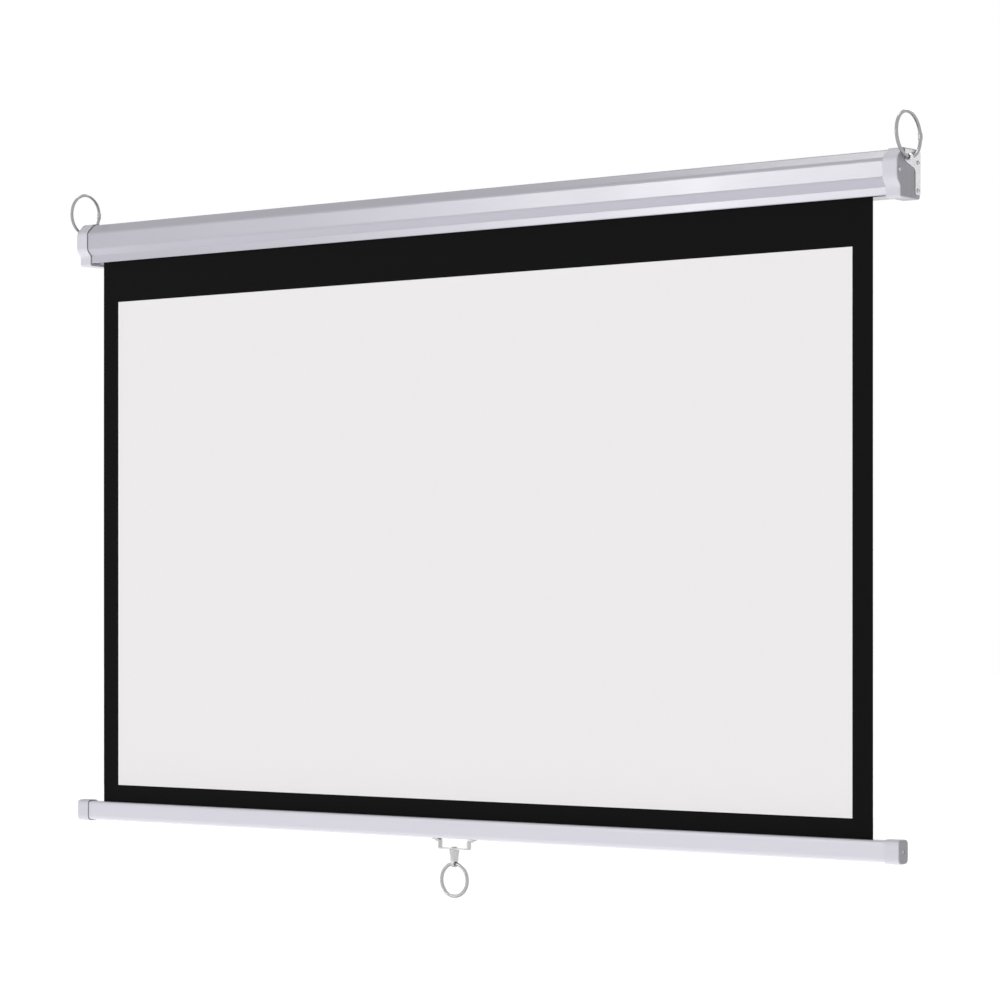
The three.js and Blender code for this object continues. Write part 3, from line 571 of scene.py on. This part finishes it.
def sheet_mesh(name, low, high, columns, rows, wave):
    """A thin closed sheet between two corners of its box, bent by a wave through its thickness."""
    build = bmesh.new()
    across = [low.x + (high.x - low.x) * i / columns for i in range(columns + 1)]
    down = [low.z + (high.z - low.z) * j / rows for j in range(rows + 1)]
    front, back = [
        [[build.verts.new((x, y + wave(x, z), z)) for x in across] for z in down]
        for y in (low.y, high.y)
    ]
    for j in range(rows):
        for i in range(columns):
            build.faces.new((front[j][i], front[j][i + 1], front[j + 1][i + 1], front[j + 1][i]))
            build.faces.new((back[j][i], back[j + 1][i], back[j + 1][i + 1], back[j][i + 1]))
    for j in range(rows):
        for i in (0, columns):
            build.faces.new((front[j][i], front[j + 1][i], back[j + 1][i], back[j][i]))
    for i in range(columns):
        for j in (0, rows):
            build.faces.new((front[j][i], back[j][i], back[j][i + 1], front[j][i + 1]))
    return mesh_from(build, name, smooth_below=30)


# Screws: sizes in metres, and shares of the shank's and the head's radius, height or pitch

SCREW_HEAD_RADIUS = 0.0038
SCREW_HEAD_HEIGHT = 0.0024
SCREW_SHANK = 0.00175
SCREW_TURN = math.radians(28)
SCREW_SIDES = 32
TIP_RADIUS = 0.0002
TIP_SHOULDER = 0.45
THREAD_PITCH = 0.0014
THREAD_PROFILE = ((0.8, 0.3), (1.0, 0.65), (1.0, 0.75))
PLAIN_NECK = 0.0022
HEAD_RIM = 0.35
HEAD_ROUNDING = 0.48
HEAD_STEPS = 6
CROSS_ARM = 0.62
CROSS_WIDTH = 0.17
CROSS_ENDS = ((0.15, 0.4, 0.5), (1.2, 1.0, 1.0))


def screw_mesh(name, length):
    """A pan head screw that points down -Z from the underside of its head, with a thread."""
    shank, height = SCREW_SHANK, -length + SCREW_SHANK
    profile = [(TIP_RADIUS, -length), (shank * TIP_SHOULDER, -length), (shank, height)]
    while height < -PLAIN_NECK:
        profile += [(shank * out, height + THREAD_PITCH * up) for out, up in THREAD_PROFILE]
        height += THREAD_PITCH
    rim = SCREW_HEAD_HEIGHT * HEAD_RIM
    profile += [(shank, 0.0), (SCREW_HEAD_RADIUS, 0.0), (SCREW_HEAD_RADIUS, rim)]
    for i in range(1, HEAD_STEPS + 1):
        turn = 0.5 * math.pi * i / HEAD_STEPS
        inward = 1 - HEAD_ROUNDING + HEAD_ROUNDING * math.cos(turn)
        upward = HEAD_RIM + (1 - HEAD_RIM) * math.sin(turn)
        profile.append((SCREW_HEAD_RADIUS * inward, SCREW_HEAD_HEIGHT * upward))
    build = bmesh.new()
    fill_stack(build, [
        [
            build.verts.new((radius * math.cos(turn), radius * math.sin(turn), z))
            for turn in round_turns(SCREW_SIDES)
        ]
        for radius, z in profile
    ])
    return cut_cross(mesh_from(build, name, smooth_below=40))


def cut_cross(mesh):
    """The same screw with a cross recess cut in its head."""
    build = bmesh.new()
    for swapped in (False, True):
        rings = []
        for height, arm_share, width_share in CROSS_ENDS:
            x = SCREW_HEAD_RADIUS * CROSS_ARM * arm_share
            y = SCREW_HEAD_RADIUS * CROSS_WIDTH * width_share
            z = SCREW_HEAD_HEIGHT * height
            corners = ((-x, -y), (x, -y), (x, y), (-x, y))
            rings.append([
                build.verts.new((across, -along, z) if swapped else (along, across, z))
                for along, across in corners
            ])
        fill_stack(build, rings)
    blank = bpy.data.objects.new("screw_blank", mesh)
    cutter = bpy.data.objects.new("cross_cutter", mesh_from(build, "cross_cutter"))
    for made in (blank, cutter):
        bpy.context.scene.collection.objects.link(made)
    recess = blank.modifiers.new("Recess", "BOOLEAN")
    recess.operation = "DIFFERENCE"
    recess.solver = "EXACT"
    recess.use_self = True
    recess.object = cutter
    graph = bpy.context.evaluated_depsgraph_get()
    cut = bpy.data.meshes.new_from_object(blank.evaluated_get(graph))
    cut.name = mesh.name
    for gone in (blank, cutter):
        data = gone.data
        bpy.data.objects.remove(gone)
        bpy.data.meshes.remove(data)
    smooth(cut, 35)
    return cut


# Stage

CAMERA_PLACE = Vector((4.186, -5.326, -0.782))
SENSOR_WIDTH = 36.0
FLOOR_REACH = 60.0
FLOOR_CORNER = 6.0
FLOOR_CORNER_STEPS = 8
FLOOR_THROWBACK = 0.62
LAMP_DISTANCE = 4.0


def make_camera(settings):
    data = bpy.data.cameras.new("camera")
    data.lens = settings.focal_length
    data.sensor_width = SENSOR_WIDTH
    data.shift_y = settings.rise
    camera = bpy.data.objects.new("camera", data)
    camera.location = CAMERA_PLACE
    camera.rotation_euler = (math.radians(90), 0.0, settings.camera_turn)
    bpy.context.scene.collection.objects.link(camera)
    bpy.context.scene.camera = camera
    bpy.context.scene.view_settings.view_transform = "Standard"


def seen_rays(tree):
    """1 for rays that show the background: from the camera, off gloss and through glass."""
    path = tree.node("ShaderNodeLightPath").outputs
    first = tree.math("MAXIMUM", path["Is Camera Ray"], path["Is Glossy Ray"])
    return tree.math("MAXIMUM", first, path["Is Transmission Ray"])


def make_world(settings):
    """White where it is seen, and an even light of the ambient level for everything else."""
    world = bpy.data.worlds.new("world")
    tree = cleared(world)
    strength = tree.spread(seen_rays(tree), WHOLE_SPAN, (settings.ambient, 1.0))
    background = tree.wired("ShaderNodeBackground", {"Color": WHITE, "Strength": strength})
    tree.feed(tree.node("ShaderNodeOutputWorld").inputs["Surface"], background[0])
    bpy.context.scene.world = world


def make_floor(settings):
    """A wide floor, white from above and clear from below, that throws back less than it shows."""
    height = frame_low.z - settings.floor_drop
    build = bmesh.new()
    outline = []
    for x, y, start in ((1, 1, 0), (-1, 1, 90), (-1, -1, 180), (1, -1, 270)):
        for i in range(FLOOR_CORNER_STEPS + 1):
            turn = math.radians(start + 90 * i / FLOOR_CORNER_STEPS)
            outline.append((
                x * (FLOOR_REACH - FLOOR_CORNER) + FLOOR_CORNER * math.cos(turn),
                y * (FLOOR_REACH - FLOOR_CORNER) + FLOOR_CORNER * math.sin(turn),
            ))
    build.faces.new([build.verts.new((x, y, height)) for x, y in outline])
    mesh = mesh_from(build, "floor")
    if mesh.polygons[0].normal.z < 0:
        mesh.flip_normals()
    material, tree, shader = blank_material("floor", Roughness=0.9, Specular_IOR_Level=0.0)
    grain_shade = (0.995, 1.0)
    grain = tree.spread(tree.noise(tree.place(), scale=40.0, detail=2.0), NOISE_SPAN, grain_shade)
    shown = tree.spread(seen_rays(tree), WHOLE_SPAN, (FLOOR_THROWBACK, 1.0))
    shade = tree.math("MULTIPLY", grain, shown)
    tree.feed(shader.inputs["Base Color"], tree.tinted(WHITE[:3], shade))
    clear = tree.geometry()["Backfacing"]
    tree.feed(shader.inputs["Alpha"], tree.math("SUBTRACT", 1.0, clear))
    mesh.materials.append(material)
    floor = bpy.data.objects.new("floor", mesh)
    # The lamp from below shines through the floor
    floor.visible_shadow = False
    bpy.context.scene.collection.objects.link(floor)
    return floor


def make_lamps(settings, floor):
    """A key with its sheen on gloss, a sheen from above, weak lamps behind and below, a wash."""
    key = add_sun("key_lamp", settings.key, azimuth=-22.0, elevation=6.0, spread=8.0)
    key.visible_glossy = False
    sheen = add_sun("sheen_lamp", settings.sheen, azimuth=-34.0, elevation=8.0, spread=7.0)
    sheen.visible_diffuse = False
    top = add_sun(
        "top_sheen_lamp", settings.top_sheen, azimuth=-115.0, elevation=66.0, spread=24.0
    )
    top.visible_diffuse = False
    add_sun("back_lamp", settings.back, azimuth=196.0, elevation=30.0, spread=20.0)
    under = add_sun("under_lamp", settings.under, azimuth=-83.0, elevation=-64.0, spread=24.0)
    under.visible_glossy = False
    wash = add_sun("floor_lamp", settings.wash, azimuth=-33.0, elevation=62.0, spread=12.0)
    lit = bpy.data.collections.new("floor_only")
    lit.objects.link(floor)
    wash.light_linking.receiver_collection = lit


def add_sun(name, strength, azimuth, elevation, spread):
    """A distant lamp. A strength of 1 shows a white face that looks at it as white."""
    data = bpy.data.lights.new(name, "SUN")
    data.energy = strength * math.pi
    data.angle = math.radians(spread)
    lamp = bpy.data.objects.new(name, data)
    turn, rise = math.radians(azimuth), math.radians(elevation)
    toward = Vector((
        math.sin(turn) * math.cos(rise), -math.cos(turn) * math.cos(rise), math.sin(rise)
    ))
    lamp.rotation_euler = toward.to_track_quat("Z", "Y").to_euler()
    lamp.location = LAMP_DISTANCE * toward
    bpy.context.scene.collection.objects.link(lamp)
    return lamp


# Operators


class PROJECTION_OT_set_stage(bpy.types.Operator):
    """Makes the camera, floor, world and lamps"""

    bl_idname = "projection.set_stage"
    bl_label = "Set the stage"
    bl_options = {"REGISTER", "UNDO"}

    def execute(self, context):
        settings = context.scene.screen_stage
        make_camera(settings)
        make_world(settings)
        make_lamps(settings, make_floor(settings))
        return {"FINISHED"}


class PROJECTION_OT_paint_case(bpy.types.Operator):
    """Paints the drawn case"""

    bl_idname = "projection.paint_case"
    bl_label = "Paint the case"
    bl_options = {"REGISTER", "UNDO"}

    def execute(self, context):
        dress(paint_material("case_paint", finish_settings().case_paint), "case_shell")
        return {"FINISHED"}


class PROJECTION_OT_mould_caps(bpy.types.Operator):
    """Gives the end caps of case and bar their moulded plastic"""

    bl_idname = "projection.mould_caps"
    bl_label = "Mould the end caps"
    bl_options = {"REGISTER", "UNDO"}

    def execute(self, context):
        material = plastic_material("cap_plastic", finish_settings().cap_plastic)
        dress(material, *both("end_cap"), *both("bar_cap"))
        return {"FINISHED"}


class PROJECTION_OT_plate_hangers(bpy.types.Operator):
    """Plates the pressed hangers with bright zinc"""

    bl_idname = "projection.plate_hangers"
    bl_label = "Plate the hangers"
    bl_options = {"REGISTER", "UNDO"}

    def execute(self, context):
        zinc = finish_settings().hanger_zinc
        dress(metal_material("hanger_zinc", zinc, gloss=0.34, spangle=0.08), *both("hanger"))
        return {"FINISHED"}


RING_WIRE = 0.0065
RING_SLEEVE_WIRE = 0.0085
RING_SLEEVE_LENGTH = 0.018


class PROJECTION_OT_form_rings(bpy.types.Operator):
    """Bends the two hanging rings from round wire, each closed by a sleeve"""

    bl_idname = "projection.form_rings"
    bl_label = "Form the hanging rings"
    bl_options = {"REGISTER", "UNDO"}

    def execute(self, context):
        zinc = finish_settings().ring_zinc
        material = metal_material("ring_zinc", zinc, gloss=0.32, spangle=0.05)
        for name, side in SIDES.items():
            node = f"hanging_ring_{name}"
            low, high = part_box(node)
            radius = (high.y - low.y - RING_WIRE / 2 - RING_SLEEVE_WIRE / 2) / 2
            middle_y = low.y + RING_WIRE / 2 + radius
            lean = math.asin((high.x - low.x - RING_WIRE) / (2 * radius))
            up = Vector((-side * math.sin(lean), 0.0, math.cos(lean)))
            centre = Vector(((low.x + high.x) / 2, middle_y, (low.z + high.z) / 2))
            across = Vector((side, 0.0, 0.0))
            across = (across - across.dot(up) * up).normalized()
            rear = 0.0 if across.cross(up).y > 0 else math.pi
            sleeve = (rear, RING_SLEEVE_LENGTH / 2, RING_SLEEVE_WIRE / 2)
            mesh = mesh_ring(
                f"wire_ring_{name}", centre, across, up, radius, RING_WIRE, steps=144, sides=20,
                sleeve=sleeve,
            )
            piece(f"wire_ring_{name}", mesh, material, f"ring_{name}", "ring_steel", node)
        return {"FINISHED"}


class PROJECTION_OT_drive_screws(bpy.types.Operator):
    """Puts pan head screws with a cross recess where the frame has its screws"""

    bl_idname = "projection.drive_screws"
    bl_label = "Drive the screws"
    bl_options = {"REGISTER", "UNDO"}

    def execute(self, context):
        material = metal_material("screw_zinc", finish_settings().screw_zinc, gloss=0.3)
        for name, side in SIDES.items():
            outward = Vector((side, 0.0, 0.0))
            for stem in ("hanger_screw_upper", "hanger_screw_lower", "cap_screw"):
                self.drive(f"{stem}_{name}", outward, "housing", material)
            self.drive(f"bar_cap_screw_{name}", outward, "bar", material)
            self.drive(f"bail_screw_{name}", Vector((0.0, 0.0, -1.0)), "bar", material)
        return {"FINISHED"}

    def drive(self, node, outward, body, material):
        """One screw, with its head on the outward side of the node that it stands for."""
        low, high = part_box(node)
        axis = max(range(3), key=lambda i: abs(outward[i]))
        tip = high if outward[axis] > 0 else low
        seat = (low + high) / 2
        seat[axis] = tip[axis] - outward[axis] * SCREW_HEAD_HEIGHT
        mesh = screw_mesh(f"pan_{node}", high[axis] - low[axis] - SCREW_HEAD_HEIGHT)
        turn = outward.to_track_quat("Z", "Y").to_matrix().to_4x4()
        mesh.transform(Matrix.Translation(seat) @ turn @ Matrix.Rotation(SCREW_TURN, 4, "Z"))
        piece(f"pan_{node}", mesh, material, body, "screw_steel", node)


class PROJECTION_OT_dress_roller(bpy.types.Operator):
    """Gives the roller, its plugs, its shaft and its spring their finishes"""

    bl_idname = "projection.dress_roller"
    bl_label = "Dress the roller"
    bl_options = {"REGISTER", "UNDO"}

    def execute(self, context):
        settings = finish_settings()
        drawn = metal_material(
            "roller_alloy", settings.roller_alloy, gloss=0.38, run=(30.0, 900.0, 900.0)
        )
        oiled = metal_material(
            "shaft_steel", settings.shaft_steel, gloss=0.3, run=(900.0, 200.0, 200.0)
        )
        nylon = plastic_material("plug_nylon", settings.plug_nylon, gloss=0.52)
        dress(drawn, "roller_tube")
        dress(
            oiled, "spring_shaft", "idle_pin", "lock_core", "torsion_spring", "spring_collar",
            "lock_ball_1", "lock_ball_2",
        )
        dress(
            nylon, "fixing_rod", "spring_end_plug", "idle_end_plug", "idle_bush", "inner_bearing",
            "hem_rod",
        )
        return {"FINISHED"}


# Cloth: sizes in metres, and each curl as its share, turns in radians a metre, and start

HEM_OVERLAP = 0.002
HEM_SETBACK = 0.0003
CURL_SHARE = 0.8
CURLS = ((0.6, 9.2, 0.6), (0.4, 15.1, 2.1))
FACE_SINK = 0.25
CLOTH_COLUMNS = 120
CLOTH_ROWS = 60
HEM_ROWS = 3


class PROJECTION_OT_hang_cloth(bpy.types.Operator):
    """Hangs the sheet: black cloth, its white picture area, and the lower mask on the bar"""

    bl_idname = "projection.hang_cloth"
    bl_label = "Hang the cloth"
    bl_options = {"REGISTER", "UNDO"}

    def execute(self, context):
        cloth = context.scene.screen_cloth
        low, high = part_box("sheet_backing")
        face_low, face_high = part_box("picture_face")
        seam = face_low.z
        drop = high.z - seam

        def wave(x, z):
            share = min(max((high.z - z) / (CURL_SHARE * drop), 0.0), 1.0)
            swing = sum(part * math.sin(rate * x + start) for part, rate, start in CURLS)
            return cloth.wave_depth * math.sin(math.pi * share) * swing

        def sheet_between(name, low_corner, high_corner, rows):
            return sheet_mesh(name, low_corner, high_corner, CLOTH_COLUMNS, rows, wave)

        black = cloth_material("mask_black", cloth.black, cover=0.45)
        white = cloth_material("picture_white", cloth.white, cover=0.75)
        backing_low = Vector((low.x, low.y, seam))
        backing = sheet_between("screen_cloth", backing_low, high, CLOTH_ROWS)
        sheet = piece("screen_cloth", backing, black, "housing", "mask_black", "sheet_backing")
        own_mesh(sheet)
        sunk = Vector((0, FACE_SINK * (face_high.y - face_low.y), 0))
        face = sheet_between("picture_cloth", face_low, face_high + sunk, CLOTH_ROWS)
        picture = piece("picture_cloth", face, white, "housing", "picture_white", "picture_face")
        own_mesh(picture)
        behind = Vector((0, HEM_SETBACK, 0))
        strip_top = Vector((high.x, high.y, seam + HEM_OVERLAP))
        strip = sheet_between("lower_mask", low + behind, strip_top + behind, HEM_ROWS)
        hem = piece("lower_mask", strip, black, "bar", "mask_black")
        dress(black, "sheet_turns")
        return {"FINISHED"}


class PROJECTION_OT_paint_bar(bpy.types.Operator):
    """Paints the weight bar"""

    bl_idname = "projection.paint_bar"
    bl_label = "Paint the weight bar"
    bl_options = {"REGISTER", "UNDO"}

    def execute(self, context):
        dress(paint_material("bar_paint", finish_settings().bar_paint), "weight_bar")
        return {"FINISHED"}


class PROJECTION_OT_fit_handle(bpy.types.Operator):
    """Finishes the bail, the swivel neck and the pull ring"""

    bl_idname = "projection.fit_handle"
    bl_label = "Fit the handle"
    bl_options = {"REGISTER", "UNDO"}

    def execute(self, context):
        settings = finish_settings()
        plated = metal_material("handle_steel", settings.handle_steel, gloss=0.36, spangle=0.03)
        dress(plated, "pull_bail", "handle_neck")
        material = metal_material(
            "pull_ring_steel", settings.pull_ring_steel, gloss=0.3, spangle=0.03
        )
        low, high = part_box("pull_ring")
        wire = high.y - low.y
        centre = (low + high) / 2
        radius = (high.z - low.z - wire) / 2
        across, up = Vector((0, 1, 0)), Vector((0, 0, 1))
        mesh = mesh_ring("pull_loop_wire", centre, across, up, radius, wire, steps=96, sides=20)
        piece("pull_loop_wire", mesh, material, "pull_loop", "ring_steel", "pull_ring")
        return {"FINISHED"}


class VIEW3D_PT_projection_screen(bpy.types.Panel):
    """Settings and steps of the projection screen"""

    bl_label = "Projection screen"
    bl_space_type = "VIEW_3D"
    bl_region_type = "UI"
    bl_category = "Screen"

    def draw(self, context):
        for group_name in setting_groups:
            group = getattr(context.scene, group_name)
            box = self.layout.box()
            for name in group.__annotations__:
                box.prop(group, name)
        column = self.layout.column(align=True)
        for step in steps:
            column.operator(step.bl_idname)


steps = (
    PROJECTION_OT_set_stage,
    PROJECTION_OT_paint_case,
    PROJECTION_OT_mould_caps,
    PROJECTION_OT_plate_hangers,
    PROJECTION_OT_form_rings,
    PROJECTION_OT_drive_screws,
    PROJECTION_OT_dress_roller,
    PROJECTION_OT_hang_cloth,
    PROJECTION_OT_paint_bar,
    PROJECTION_OT_fit_handle,
)
setting_groups = {
    "screen_cloth": ScreenClothSettings,
    "screen_finish": ScreenFinishSettings,
    "screen_stage": ScreenStageSettings,
}
classes = (*setting_groups.values(), *steps, VIEW3D_PT_projection_screen)


def register():
    for made in classes:
        bpy.utils.register_class(made)
    for name, made in setting_groups.items():
        setattr(bpy.types.Scene, name, PointerProperty(type=made))


def unregister():
    for name in setting_groups:
        delattr(bpy.types.Scene, name)
    for made in reversed(classes):
        bpy.utils.unregister_class(made)


def main():
    """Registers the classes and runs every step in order."""
    register()
    for step in steps:
        area, name = step.bl_idname.split(".")
        getattr(getattr(bpy.ops, area), name)()


if __name__ == "__main__":
    main()
